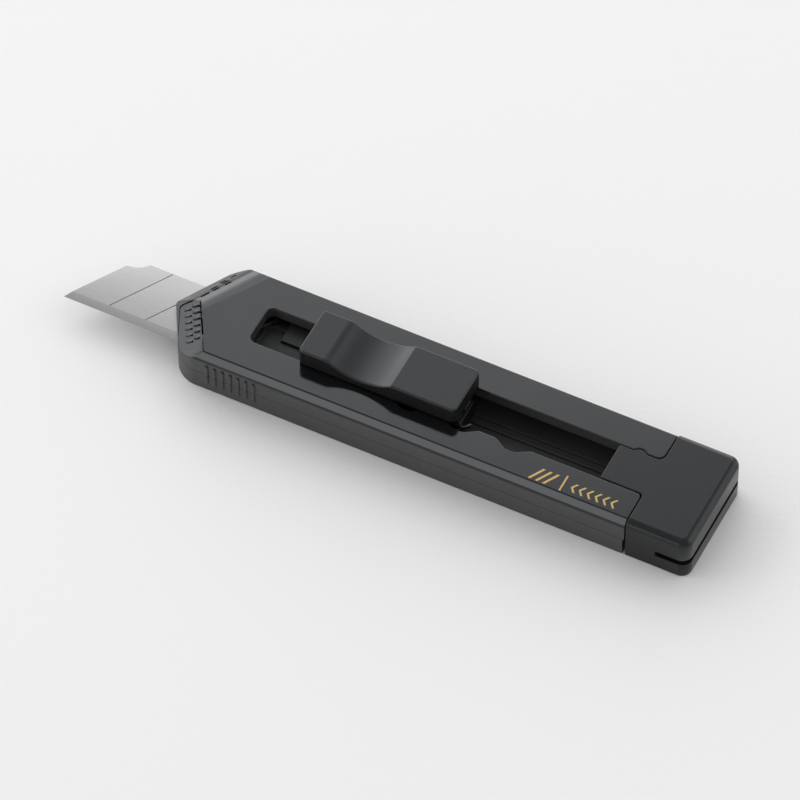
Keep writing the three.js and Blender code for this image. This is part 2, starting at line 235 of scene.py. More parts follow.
def lengthen(bm, side):
    """Stands a profile in inward distance and height along one slanted side of the nose."""
    turn = Matrix((nose_inward(side), Vector((0, 0, 1)), nose_run(side))).transposed().to_4x4()
    place = Matrix.Translation((nose_corner, 0, 0)) @ turn
    bmesh.ops.transform(bm, matrix=place, verts=bm.verts)
    bmesh.ops.recalc_face_normals(bm, faces=bm.faces)


def nose_blank(side, top_radius):
    """The stock left under one slanted nose face, with its upper and lower edges rounded."""
    inside = 90
    bm = prism([
        (0, -1), (0, FACET_LOW_EDGE), (FACET_WIDTH, body_top), (inside, body_top), (inside, -1),
    ], -60, 60)
    round_upright(bm, [(0, FACET_LOW_EDGE)], 0.5, 8)
    round_upright(bm, [(FACET_WIDTH, body_top)], top_radius, 16)
    lengthen(bm, side)
    return bm


def body_blank(rear, low):
    """The outside of the body from the nose back to a seam, with its rounded top chamfer."""
    shoulder = nose_corner + half_width * math.tan(NOSE_ANGLE)
    overrun = rear + 5
    outline = [
        (nose_corner, 0), (shoulder, -half_width), (overrun, -half_width),
        (overrun, half_width), (shoulder, half_width),
    ]
    chamfer_foot = body_top - CHAMFER_HEIGHT
    bm = prism(outline, low, chamfer_foot)
    round_upright(bm, [(shoulder, -half_width), (shoulder, half_width)], SHOULDER_RADIUS, 16)
    top = max(bm.faces, key=lambda face: face.calc_center_median().z)
    bmesh.ops.inset_region(
        bm, faces=[top], thickness=CHAMFER_WIDTH, use_boundary=True, use_even_offset=True,
    )
    bmesh.ops.translate(bm, verts=top.verts, vec=(0, 0, CHAMFER_HEIGHT))
    for height, offset in ((body_top, CHAMFER_TOP_RADIUS), (chamfer_foot, CHAMFER_FOOT_RADIUS)):
        rims = [e for e in bm.edges if all(abs(v.co.z - height) < 0.01 for v in e.verts)]
        round_edges(bm, rims, offset, 5)
    bmesh.ops.recalc_face_normals(bm, faces=bm.faces)
    for side, top_radius in ((-1, 0.3), (1, 5.5)):
        bm = combine(bm, nose_blank(side, top_radius), "INTERSECT")
    slice_off(bm, (rear, 0, 0), (1, 0, 0))
    prow = [
        e for e in bm.edges
        if e.is_manifold and e.calc_face_angle() > math.radians(20)
        and all(abs(v.co.y) < 0.01 and v.co.x < nose_corner + 2.5 for v in e.verts)
    ]
    round_edges(bm, prow, PROW_RADIUS, 6)
    return bm


def slot_blank(front, rear, low, high):
    """What is cut out of the roof for the slider, with the detent waves on its near edge."""
    wave = []
    for centre in NOTCH_CENTRES:
        wave += [
            (centre - NOTCH_MOUTH, SLOT_NEAR), (centre - NOTCH_FLOOR, SLOT_NEAR - NOTCH_DEPTH),
            (centre + NOTCH_FLOOR, SLOT_NEAR - NOTCH_DEPTH), (centre + NOTCH_MOUTH, SLOT_NEAR),
        ]
    latch = [
        (LATCH_REAR, SLOT_FAR_BEHIND_LATCH), (25.45, LATCH_TOP), (24.75, LATCH_TOP),
        (LATCH_FRONT, SLOT_FAR),
    ]
    outline = [
        (front, SLOT_NEAR), *wave, (rear, SLOT_NEAR), (rear, SLOT_FAR_BEHIND_LATCH), *latch,
        (front, SLOT_FAR),
    ]
    bm = prism(outline, low, high)
    round_upright(bm, wave, 1.0, 5)
    round_upright(bm, latch, LATCH_RADIUS, 5)
    round_upright(bm, [(front, SLOT_NEAR), (front, SLOT_FAR)], SLOT_END_RADIUS, 8)
    return bm


def channel_blank(low, high):
    """The room that the blade and its holder slide in."""
    front = shell_low.x + 4.5
    wide = CHANNEL_HALF_WIDTH
    outline = [
        (front, -1.5), (front + 2.5, -wide), (seam + 5, -wide),
        (seam + 5, wide), (front + 2.5, wide), (front, 1.5),
    ]
    return prism(outline, low, high)


def mouth_blank(low, high):
    """What is cut out of a shell at the nose, so that the blade can come out."""
    return block(
        (shell_low.x - 1, MOUTH_NEAR, low), (shell_low.x + MOUTH_LENGTH, MOUTH_FAR, high),
    )


def seam_tongue(side, low, high, spare):
    """The tongue along one side wall that locks the two shells and closes the seam to light."""
    inner, outer = sorted((side * (TONGUE_INNER - spare), side * (TONGUE_OUTER + spare)))
    front = shell_low.x + TONGUE_SETBACK - spare
    rear = seam - TONGUE_REAR_SETBACK + spare
    return block((front, inner, low), (rear, outer, high))


def with_grip_ribs(bm, low, high, domed_end):
    """Adds each side's row of half-round bars, domed at the end that the seam doesn't cut."""
    for side in (-1, 1):
        for i in range(RIB_COUNT):
            place = (FIRST_RIB + i * RIB_PITCH, side * (half_width - RIB_SUNK), (low + high) / 2)
            bar = bmesh.new()
            bmesh.ops.create_cone(
                bar, cap_ends=True, segments=20, radius1=RIB_RADIUS, radius2=RIB_RADIUS,
                depth=high - low, matrix=Matrix.Translation(place),
            )
            soften(bar, RIB_DOME_RADIUS, lambda p: abs(p.z - domed_end) < 0.01, 5)
            bm = combine(bm, bar, "UNION")
    return bm


def nose_mark(outline, side, low_depth, high_depth):
    """A small prism on a slanted nose face, between two depths under it."""
    bm = prism(outline, FACET_LOW_EDGE - 2, body_top + 2)
    slice_off(bm, facet_point(side, high_depth), facet_normal(side))
    slice_off(bm, facet_point(side, low_depth), -facet_normal(side))
    return bm


def on_nose(side, inward, along):
    """Plan coordinates of a place on a slanted nose face."""
    place = Vector((nose_corner, 0, 0)) + nose_inward(side) * inward + nose_run(side) * along
    return (place.x, place.y)


housing = body_blank(seam, parting + PARTING_GAP)
housing = combine(housing, channel_blank(parting - 1, body_top - ROOF_THICKNESS))
housing = combine(housing, slot_blank(SLOT_FRONT, seam + 5, parting + 1, body_top + 1))
for side in (-1, 1):
    groove = seam_tongue(side, parting - 1, parting + GROOVE_RISE, GROOVE_SPARE)
    housing = combine(housing, groove)
housing = combine(housing, mouth_blank(parting - 1, MOUTH_HIGH))
round_upright(housing, [(seam, SLOT_FAR_BEHIND_LATCH)], SLOT_END_RADIUS, 8)
round_upright(housing, [(seam, SLOT_NEAR)], 0.5, 6)


def on_slot_rim(place):
    level = place.z > body_top - 0.01
    return level and abs(place.y) < 4.2 and place.x > SLOT_FRONT - 0.1


soften(housing, 0.13, on_slot_rim, 3)
soften(housing, 0.1, lambda p: p.x > seam - 0.03 and p.z > parting + 0.2, 3)

# The near nose face has a shallow sunk panel with two rows of slanted raised bars.
SCOOP_END = -6.75
SCOOP_OUTER_DEPTH = 0.07
SCOOP_TILT = math.radians(3.5)
scoop_corners = [
    on_nose(-1, 0.45, 0.9), (-32.75, SCOOP_END), (-29.6, SCOOP_END), on_nose(-1, 3.1, 1.1),
]
scoop = prism(scoop_corners, FACET_LOW_EDGE - 2, body_top + 2)
round_upright(scoop, scoop_corners[:1], 0.5, 5)
round_upright(scoop, scoop_corners[1:3], 0.3, 5)
up_the_face = nose_inward(-1) * FACET_WIDTH + Vector((0, 0, body_top - FACET_LOW_EDGE))
scoop_floor = facet_normal(-1) + up_the_face.normalized() * math.tan(SCOOP_TILT)
slice_off(scoop, facet_point(-1, SCOOP_OUTER_DEPTH), -scoop_floor.normalized())
housing = combine(housing, scoop)


def on_scoop_rim(edge):
    """Tells whether an edge is where the sunk panel meets the near nose face."""
    place = edge_middle(edge)
    off_the_face = abs((place - facet_point(-1)).dot(facet_normal(-1)))
    return place.y < -0.5 and place.x < -29.3 and off_the_face < 0.12


scoop_rim = [
    e for e in housing.edges
    if e.is_manifold and e.is_convex and e.calc_face_angle() > math.radians(20)
    and on_scoop_rim(e)
]
round_edges(housing, scoop_rim, 0.06, 3)

ABOVE_FACE = -0.6
GROOVE_INNER, GROOVE_OUTER = 2.9, 3.12
GROOVE_START, GROOVE_END = 1.25, 7.2
GROOVE_DEPTH = 0.42
inner_groove = [
    on_nose(-1, GROOVE_INNER, GROOVE_START), on_nose(-1, GROOVE_INNER, GROOVE_END),
    on_nose(-1, GROOVE_OUTER, GROOVE_END), on_nose(-1, GROOVE_OUTER, GROOVE_START),
]
housing = combine(housing, nose_mark(inner_groove, -1, GROOVE_DEPTH, ABOVE_FACE))

BAR_COUNT, BAR_PITCH, FIRST_BAR = 6, 1.0, 1.8
BAR_LENGTH, BAR_WIDTH, BAR_LEAN = 0.75, 0.3, 0.22
BAR_FOOT_DEPTH, BAR_TOP_DEPTH = 0.5, 0.03
BAR_ROWS = (0.95, 1.95)
for i in range(BAR_COUNT):
    foot = FIRST_BAR + i * BAR_PITCH
    for inward in BAR_ROWS:
        outline = [
            on_nose(-1, inward, foot),
            on_nose(-1, inward, foot + BAR_WIDTH),
            on_nose(-1, inward + BAR_LENGTH, foot + (BAR_WIDTH + BAR_LEAN)),
            on_nose(-1, inward + BAR_LENGTH, foot + BAR_LEAN),
        ]
        bar = nose_mark(outline, -1, BAR_FOOT_DEPTH, BAR_TOP_DEPTH)
        soften(bar, 0.05, None, 2)
        housing = combine(housing, bar, "UNION")

# The far nose face has short dashes sunk in it, each given by its middle line, start and end.
DASH_DEPTH = 0.85
DASH_HALF_WIDTH = 0.16
dashes = [
    (2.13, 2.35, 3.55), (2.13, 4.1, 5.0), (2.2, 5.8, 6.7), (1.6, 4.1, 5.05), (1.63, 5.8, 6.7),
    (1.13, 5.75, 6.6), (1.12, 7.3, 8.1),
]
for inward, start, end in dashes:
    dash = [
        on_nose(1, inward - DASH_HALF_WIDTH, start), on_nose(1, inward - DASH_HALF_WIDTH, end),
        on_nose(1, inward + DASH_HALF_WIDTH, end), on_nose(1, inward + DASH_HALF_WIDTH, start),
    ]
    housing = combine(housing, nose_mark(dash, 1, DASH_DEPTH, ABOVE_FACE))
housing = with_grip_ribs(housing, parting + PARTING_GAP, RIB_HIGH, RIB_HIGH)


def link_nodes(tree, *pairs):
    for output, target in pairs:
        tree.links.new(output, target)


def inside_dash(place):
    """Tells whether a place is inside one of the dashes sunk in the far nose face."""
    under = (facet_point(1) - place).dot(facet_normal(1))
    from_nose = place - Vector((nose_corner, 0, 0))
    inward = from_nose.dot(nose_inward(1))
    along = from_nose.dot(nose_run(1))
    slack = 0.02
    return 0.3 < under < DASH_DEPTH + 0.05 and any(
        abs(inward - middle) < DASH_HALF_WIDTH + slack and start - slack < along < end + slack
        for middle, start, end in dashes
    )


# The colour sockets of a Mix node, which share their names with its sockets of other types.
MIX_FACTOR, MIX_FIRST_COLOUR, MIX_SECOND_COLOUR, MIX_COLOUR_RESULT = 0, 6, 7, 2


def moulded_plastic(name, colour, roughness, grain, grain_height, variation=0.04, shine=0.5):
    """Moulded plastic: a fine grain in its surface, a slow change of gloss, and handling haze."""
    material = bpy.data.materials.new(name)
    material.use_nodes = True
    tree = material.node_tree
    shader = tree.nodes["Principled BSDF"]
    shader.inputs["IOR"].default_value = 1.5
    shader.inputs["Specular IOR Level"].default_value = shine
    # The reflections are tinted cool. This is a painted tint standing for the cool light of the
    # window, not a colour of the plastic.
    shader.inputs["Specular Tint"].default_value = (0.93, 0.975, 1, 1)
    place = tree.nodes.new("ShaderNodeTexCoord")
    grain_noise = tree.nodes.new("ShaderNodeTexNoise")
    grain_noise.inputs["Scale"].default_value = 1 / (grain * MM)
    grain_noise.inputs["Detail"].default_value = 3
    bump = tree.nodes.new("ShaderNodeBump")
    bump.inputs["Strength"].default_value = 1.0
    bump.inputs["Distance"].default_value = grain_height * MM
    haze = tree.nodes.new("ShaderNodeTexNoise")
    haze.inputs["Scale"].default_value = 1 / (6 * MM)
    haze.inputs["Detail"].default_value = 6
    gloss = tree.nodes.new("ShaderNodeMapRange")
    gloss.inputs["To Min"].default_value = roughness - variation
    gloss.inputs["To Max"].default_value = roughness + variation
    tone = tree.nodes.new("ShaderNodeMix")
    tone.data_type = "RGBA"
    tone.inputs[MIX_FIRST_COLOUR].default_value = (*[c * 0.85 for c in colour], 1)
    tone.inputs[MIX_SECOND_COLOUR].default_value = (*[c * 1.15 for c in colour], 1)
    link_nodes(
        tree,
        (place.outputs["Object"], grain_noise.inputs["Vector"]),
        (place.outputs["Object"], haze.inputs["Vector"]),
        (grain_noise.outputs["Fac"], bump.inputs["Height"]),
        (haze.outputs["Fac"], gloss.inputs["Value"]),
        (haze.outputs["Fac"], tone.inputs[MIX_FACTOR]),
        (gloss.outputs["Result"], shader.inputs["Roughness"]),
        (tone.outputs[MIX_COLOUR_RESULT], shader.inputs["Base Color"]),
        (bump.outputs["Normal"], shader.inputs["Normal"]),
    )
    return material


polished_black = moulded_plastic(
    "polished_black_styrene", (0.005, 0.0053, 0.0059), 0.13, 0.5, 0.0003, shine=0.48,
)
satin_black = moulded_plastic("satin_black_styrene", (0.043, 0.0415, 0.0405), 0.4, 0.12, 0.003)
# The faces inside the far nose face's dashes get a darker, rougher black. The darker colour is
# painted shade for the dashes' dark insides.
dash_painted_shade = moulded_plastic("dash_painted_shade_styrene", (0.004, 0.004, 0.004), 0.6, 0.12, 0.003)
POLISHED_DEPTH = 2.6
POLISHED, SATIN, PAINTED_SHADE = 0, 1, 2
for face in housing.faces:
    face.normal_update()
    place = face.calc_center_median()
    outside = place.z > body_top - POLISHED_DEPTH
    face.material_index = POLISHED if face.normal.z > 0.08 and outside else SATIN
    # Faces inside the dashes take the darker black, which is painted shade.
    if inside_dash(place):
        face.material_index = PAINTED_SHADE
finish_piece(
    housing, "upper_housing_shell", [polished_black, satin_black, dash_painted_shade], "housing",
    ["upper_housing"],
)

# ---------------------------------------------------------------------------------------------
# Lower housing. The other moulded shell: the floor that the knife rests on, satin all over, with
# the blade channel sunk in it and slim rails that keep the holder clear of the floor. A tongue
# along each side wall stands in a groove of the upper shell.

FLOOR_THICKNESS = 1.6
MOUTH_LOW = 2.52
REAR_SETBACK = 0.2
UNDERSIDE_RADIUS = 0.15
RAIL_PLACES = (-2.3, -1.15, 1.15, 2.3)
RAIL_HALF_WIDTH, RAIL_HIGH = 0.17, 1.9
RAIL_SETBACK, RAIL_REAR = 5.5, 23.7

base = body_blank(seam - REAR_SETBACK, 0)
slice_off(base, (0, 0, parting), (0, 0, 1))
soften(base, UNDERSIDE_RADIUS, lambda p: p.z < 0.05 and p.x < seam - 0.3, 4)
soften(base, 0.07, lambda p: p.x > seam - 0.23, 3)
base = combine(base, channel_blank(FLOOR_THICKNESS, parting + 1))
for side in (-1, 1):
    tongue = seam_tongue(side, parting - 0.3, parting + TONGUE_RISE, 0)
    base = combine(base, tongue, "UNION")
base = combine(base, mouth_blank(MOUTH_LOW, parting + 1))
for place in RAIL_PLACES:
    rail = block(
        (shell_low.x + RAIL_SETBACK, place - RAIL_HALF_WIDTH, FLOOR_THICKNESS - 0.2),
        (RAIL_REAR, place + RAIL_HALF_WIDTH, RAIL_HIGH),
    )
    soften(rail, 0.06, lambda p: p.z > RAIL_HIGH - 0.1, 3)
    base = combine(base, rail, "UNION")
base = with_grip_ribs(base, RIB_LOW, parting, RIB_LOW)
finish_piece(
    base, "lower_housing_shell", [satin_black], "housing", ["lower_housing"],
)

# ---------------------------------------------------------------------------------------------
# Tail cap. A moulded plug for the open tail, in a slightly softer black. Its tongue fills the
# slot's rear end, a small bump on the tongue's far side latches it, and its slit snaps the blade.

CAP_GAP = 0.15
CAP_CORNER_RADIUS, CAP_RIM_RADIUS = 1.4, 1.0
CAP_TONGUE_THICKNESS = 1.7
PLUG_LENGTH, PLUG_LOW, PLUG_HIGH = 3.2, 2.2, 4.5
PLUG_KEY_LOW, PLUG_KEY_HIGH = 4.4, 5.0
SLIT_FRONT, SLIT_LOW, SLIT_HIGH = 32.05, 2.2, 3.0
SLIT_POCKET_HALF_WIDTH = 5

cap_front = seam + CAP_GAP
cap = block((cap_front, -half_width, 0), (cap_high.x, half_width, body_top))
round_upright(
    cap, [(cap_high.x, -half_width), (cap_high.x, half_width)], CAP_CORNER_RADIUS, 12,
)
rim = [
    e for e in cap.edges
    if all(v.co.z > body_top - 0.01 for v in e.verts)
    and any(v.co.x > cap_front + 0.01 for v in e.verts)
]
round_edges(cap, rim, CAP_RIM_RADIUS, 10)
soften(cap, 0.2, lambda p: p.z < 0.01 and p.x > cap_front + 0.01, 4)

near, far = SLOT_NEAR + CAP_GAP, SLOT_FAR - CAP_GAP / 2
far_behind_latch = far + 0.05
bump_top = LATCH_TOP - CAP_GAP
latch = [(LATCH_REAR, far_behind_latch), (25.4, bump_top), (24.8, bump_top), (LATCH_FRONT, far)]
tongue = prism([
    (slot_rear, near), (cap_front, near), (cap_front, near - 1), (cap_front + 1, near - 1),
    (cap_front + 1, far + 1.5), (cap_front, far + 1.5), (cap_front, far_behind_latch), *latch,
    (slot_rear, far),
], body_top - CAP_TONGUE_THICKNESS, body_top)
round_upright(tongue, [(cap_front, far_behind_latch)], 0.95, 8)
round_upright(tongue, [(cap_front, near)], 0.5, 6)
round_upright(tongue, latch, LATCH_RADIUS, 5)
round_upright(tongue, [(slot_rear, near), (slot_rear, far)], 0.25, 4)
cap = combine(cap, tongue, "UNION")

plug_wide = CHANNEL_HALF_WIDTH - 0.3
plug_front, plug_rear = cap_front - PLUG_LENGTH, cap_front + 0.5
plug = block((plug_front, -plug_wide, PLUG_LOW), (plug_rear, plug_wide, PLUG_HIGH))
cap = combine(cap, plug, "UNION")
plug_key = block((plug_front, near, PLUG_KEY_LOW), (plug_rear, far, PLUG_KEY_HIGH))
cap = combine(cap, plug_key, "UNION")
cap = combine(cap, block(
    (SLIT_FRONT, -half_width - 1, SLIT_LOW), (cap_high.x + 1, half_width + 1, SLIT_HIGH),
))
cap = combine(cap, block(
    (SLIT_FRONT - 2, -SLIT_POCKET_HALF_WIDTH, SLIT_LOW),
    (SLIT_FRONT + 0.5, SLIT_POCKET_HALF_WIDTH, SLIT_HIGH),
))


def on_cap_front(place):
    return place.x < cap_front + 0.05 and (place.z > body_top - 0.02 or abs(place.y) > 5.5)


def on_slit(place):
    return SLIT_LOW - 0.02 < place.z < SLIT_HIGH + 0.02 and place.x > SLIT_FRONT - 0.02


soften(cap, 0.11, on_cap_front, 3)
soften(cap, 0.06, on_slit, 2)
cap_black = moulded_plastic(
    "cap_black_styrene", (0.008, 0.008, 0.0084), 0.24, 0.15, 0.0015, shine=0.36,
)
finish_piece(cap, "tail_cap_moulding", [cap_black], "cap", ["tail_cap"])

# ---------------------------------------------------------------------------------------------
# Thumb slider. One moulding with a fine matt texture: a pad dished for the thumb, with a sharp
# step to push against, on a stem that runs down through the slot to the blade holder.

pad_low, pad_high = (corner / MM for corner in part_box("thumb_slider"))
PAD_UNDERSIDE = body_top + 0.3
DISH_REAR = pad_high.x - 8.6
DISH_DEPTH = 1.32
DISH_RADIUS = 7.6
LEAD_IN_RADIUS, STEP_RADIUS = 2.2, 0.25
DISH_SLICES = 24
PAD_CORNER_RADIUS, PAD_RIM_RADIUS = 0.65, 0.22
STEM_FRONT, STEM_REAR, STEM_LOW = -17.4, 2.9, 4.8
STEM_NEAR, STEM_FAR = -2.55, 2.45

lead_in = math.acos(1 - DISH_DEPTH / (DISH_RADIUS + LEAD_IN_RADIUS))
step_up = math.acos(1 - DISH_DEPTH / (DISH_RADIUS + STEP_RADIUS))
dish_length = (
    (DISH_RADIUS + LEAD_IN_RADIUS) * math.sin(lead_in)
    + (DISH_RADIUS + STEP_RADIUS) * math.sin(step_up)
)


def swept_on(bm, edge, heading, radius, angle, steps):
    """Carries a crosswise edge on along an arc, from its heading, and gives the last edge."""
    place = edge.verts[0].co
    above = Vector((-math.sin(heading), 0, math.cos(heading)))
    centre = place + above * radius * (1 if angle > 0 else -1)
    last = bmesh.ops.spin(
        bm, geom=[edge, *edge.verts], cent=(centre.x, 0, centre.z), axis=(0, 1, 0),
        angle=-angle, steps=steps, use_merge=False,
    )["geom_last"]
    return next(g for g in last if isinstance(g, bmesh.types.BMEdge))


def carried_to(bm, edge, x):
    """Carries a crosswise edge on level to a place along the knife, and gives the last edge."""
    grown = bmesh.ops.extrude_edge_only(bm, edges=[edge])["geom"]
    moved = [g for g in grown if isinstance(g, bmesh.types.BMVert)]
    bmesh.ops.translate(bm, verts=moved, vec=(x - edge.verts[0].co.x, 0, 0))
    return next(
        g for g in grown
        if isinstance(g, bmesh.types.BMEdge) and all(v in moved for v in g.verts)
    )


pad = bmesh.new()
front_corners = [(pad_low.x, y, pad_high.z) for y in (pad_low.y, pad_high.y)]
edge = pad.edges.new([pad.verts.new(corner) for corner in front_corners])
edge = carried_to(pad, edge, DISH_REAR - dish_length)
edge = swept_on(pad, edge, 0, LEAD_IN_RADIUS, -lead_in, 6)
edge = swept_on(pad, edge, -lead_in, DISH_RADIUS, lead_in + step_up, DISH_SLICES)
edge = swept_on(pad, edge, step_up, STEP_RADIUS, -step_up, 4)
carried_to(pad, edge, pad_high.x)
grown = bmesh.ops.extrude_face_region(pad, geom=pad.faces[:])["geom"]
lowered = [g for g in grown if isinstance(g, bmesh.types.BMVert)]
bmesh.ops.scale(pad, vec=(1, 1, 0), verts=lowered)
bmesh.ops.translate(pad, vec=(0, 0, PAD_UNDERSIDE), verts=lowered)
bmesh.ops.remove_doubles(pad, verts=pad.verts, dist=0.0005)
bmesh.ops.recalc_face_normals(pad, faces=pad.faces)
corners = [(x, y) for x in (pad_low.x, pad_high.x) for y in (pad_low.y, pad_high.y)]
round_upright(pad, corners, PAD_CORNER_RADIUS, 8)
for face in pad.faces:
    face.normal_update()
rim = [
    e for e in pad.edges
    if len(e.link_faces) == 2
    and max(f.normal.z for f in e.link_faces) > 0.4
    and min(abs(f.normal.z) for f in e.link_faces) < 0.1
]
round_edges(pad, rim, PAD_RIM_RADIUS, 5)
stem = block((STEM_FRONT, STEM_NEAR, STEM_LOW), (STEM_REAR, STEM_FAR, PAD_UNDERSIDE + 0.2))
pad = combine(pad, stem, "UNION")
stop = block((2.5, -0.3, 4.9), (3.12, 1.4, 5.45))
soften(stop, 0.08, None, 3)
pad = combine(pad, stop, "UNION")
slider_black = moulded_plastic(
    "slider_black_acetal", (0.0095, 0.0095, 0.01), 0.34, 0.12, 0.005, shine=0.42,
)
finish_piece(pad, "thumb_slider_pad", [slider_black], "slider", ["thumb_slider"])

# ---------------------------------------------------------------------------------------------
# Blade holder. A moulded carrier that lies on the blade: a plate with a raised rib along it, a
# peg through the blade's hole and a post at the rear that stops the spring and joins the stem.

holder_low, holder_high = (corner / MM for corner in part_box("blade_holder"))
PLATE_FRONT, PLATE_LOW = -22.1, 3.5
RIB_TOP, RIB_REAR = 4.5, 1.2
LIP_NEAR, LIP_FAR, LIP_THICKNESS = -1.4, 1.8, 0.4
POST_FRONT, POST_NEAR, POST_FAR = 0.95, -2.4, 2.0
POST_LOW, POST_HIGH = 2.2, 4.75
PEG_X, PEG_TIP_RADIUS, PEG_ROOT_RADIUS, PEG_LENGTH = -2.2, 0.9, 1.0, 1.3

holder = block(
    (PLATE_FRONT, holder_low.y, PLATE_LOW), (holder_high.x, holder_high.y, RIB_TOP - 0.35),
)
soften(holder, 0.12, None, 3)
lip = block(
    (holder_low.x, LIP_NEAR, PLATE_LOW), (PLATE_FRONT + 0.5, LIP_FAR, PLATE_LOW + LIP_THICKNESS),
)
round_upright(lip, [(holder_low.x, LIP_NEAR), (holder_low.x, LIP_FAR)], 0.5, 5)
holder = combine(holder, lip, "UNION")
rib = block((PLATE_FRONT + 0.02, 0, RIB_TOP - 0.5), (RIB_REAR, holder_high.y - 0.5, RIB_TOP))
soften(rib, 0.1, None, 3)
holder = combine(holder, rib, "UNION")
post = block((POST_FRONT, POST_NEAR, POST_LOW), (holder_high.x, POST_FAR, POST_HIGH))
soften(post, 0.12, None, 3)
holder = combine(holder, post, "UNION")
peg = bmesh.new()
bmesh.ops.create_cone(
    peg, cap_ends=True, segments=40, radius1=PEG_TIP_RADIUS, radius2=PEG_ROOT_RADIUS,
    depth=PEG_LENGTH, matrix=Matrix.Translation((PEG_X, -0.2, 3.1)),
)
holder = combine(holder, peg, "UNION")
holder_black = moulded_plastic(
    "holder_black_acetal", (0.004, 0.0039, 0.0038), 0.5, 0.2, 0.003, shine=0.4,
)
finish_piece(
    holder, "blade_holder_carrier", [holder_black], "slider", ["blade_holder"],
)

# ---------------------------------------------------------------------------------------------
# Detent spring. A strip of spring steel that lies along the slider's stem. The tooth bent at its
# rear end springs into the notches of the slot's near edge. Here it is held straight, with the
# tooth just clear of that edge and in line with a notch.

spring_low, spring_high = (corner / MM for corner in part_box("detent_spring"))
SPRING_THICKNESS = 0.3
TOOTH_CLEARANCE = 0.04
leaf_near = SLOT_NEAR + 0.7
leaf_far = leaf_near + SPRING_THICKNESS
tooth = NOTCH_CENTRES[1]
tooth_tip = SLOT_NEAR + TOOTH_CLEARANCE
tooth_hollow = SLOT_NEAR + (TOOTH_CLEARANCE + SPRING_THICKNESS)
leaf = prism([
    (spring_low.x, leaf_near), (tooth - 1.1, leaf_near), (tooth - 0.2, tooth_tip),
    (tooth + 0.2, tooth_tip), (tooth + 0.9, leaf_near), (tooth + 0.9, leaf_far),
    (tooth + 0.6, leaf_far), (tooth + 0.15, tooth_hollow), (tooth - 0.15, tooth_hollow),
    (tooth - 0.9, leaf_far), (spring_low.x, leaf_far),
], spring_low.z, spring_high.z - 0.45)
soften(leaf, 0.05, None, 2)


def bright_steel(name, colour, roughness, grain, stretch, grain_height, variation=0.05):
    """Rolled or ground steel: grinding lines drawn out along one direction."""
    material = bpy.data.materials.new(name)
    material.use_nodes = True
    tree = material.node_tree
    shader = tree.nodes["Principled BSDF"]
    shader.inputs["Metallic"].default_value = 1.0
    place = tree.nodes.new("ShaderNodeTexCoord")
    draw = tree.nodes.new("ShaderNodeMapping")
    draw.inputs["Scale"].default_value = stretch
    lines = tree.nodes.new("ShaderNodeTexNoise")
    lines.inputs["Scale"].default_value = 1 / (grain * MM)
    lines.inputs["Detail"].default_value = 5
    bump = tree.nodes.new("ShaderNodeBump")
    bump.inputs["Strength"].default_value = 1.0
    bump.inputs["Distance"].default_value = grain_height * MM
    gloss = tree.nodes.new("ShaderNodeMapRange")
    gloss.inputs["To Min"].default_value = roughness - variation
    gloss.inputs["To Max"].default_value = roughness + variation
    tone = tree.nodes.new("ShaderNodeMix")
    tone.data_type = "RGBA"
    tone.inputs[MIX_FIRST_COLOUR].default_value = (*[c * 0.9 for c in colour], 1)
    tone.inputs[MIX_SECOND_COLOUR].default_value = (*[c * 1.1 for c in colour], 1)
    link_nodes(
        tree,
        (place.outputs["Object"], draw.inputs["Vector"]),
        (draw.outputs["Vector"], lines.inputs["Vector"]),
        (lines.outputs["Fac"], bump.inputs["Height"]),
        (lines.outputs["Fac"], gloss.inputs["Value"]),
        (lines.outputs["Fac"], tone.inputs[MIX_FACTOR]),
        (gloss.outputs["Result"], shader.inputs["Roughness"]),
        (tone.outputs[MIX_COLOUR_RESULT], shader.inputs["Base Color"]),
        (bump.outputs["Normal"], shader.inputs["Normal"]),
    )
    return material


# The steel is coloured far darker than bare steel. This is painted shade that dims the spring's
# glint where it sits down in the slot under the slider.
painted_shade_spring_metal = bright_steel(
    "detent_painted_shade_steel", (0.07, 0.07, 0.072), 0.34, 0.08, (0.1, 1, 1), 0.001,
)
finish_piece(
    leaf, "detent_spring_strip", [painted_shade_spring_metal], "slider", ["detent_spring"],
)

# ---------------------------------------------------------------------------------------------
# Blade. One strip of ground tool steel, 9 mm wide, scored every 5 mm so that a worn segment can be
# snapped off. Both sides of its edge are ground, across the edge, and its first corner is clipped.

blade_low, blade_high = (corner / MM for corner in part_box("blade"))
SNAP_SLANT = 1 / math.tan(math.radians(59))
SEGMENT_PITCH = 5
GRIND_WIDTH = 1.1
EDGE_HALF_THICKNESS = 0.015
SCORE_WIDTH, SCORE_DEPTH = 0.13, 0.1
HOLE_RADIUS = 1.35
lean = (blade_high.y - blade_low.y) * SNAP_SLANT
first_corner = blade_low.x + lean

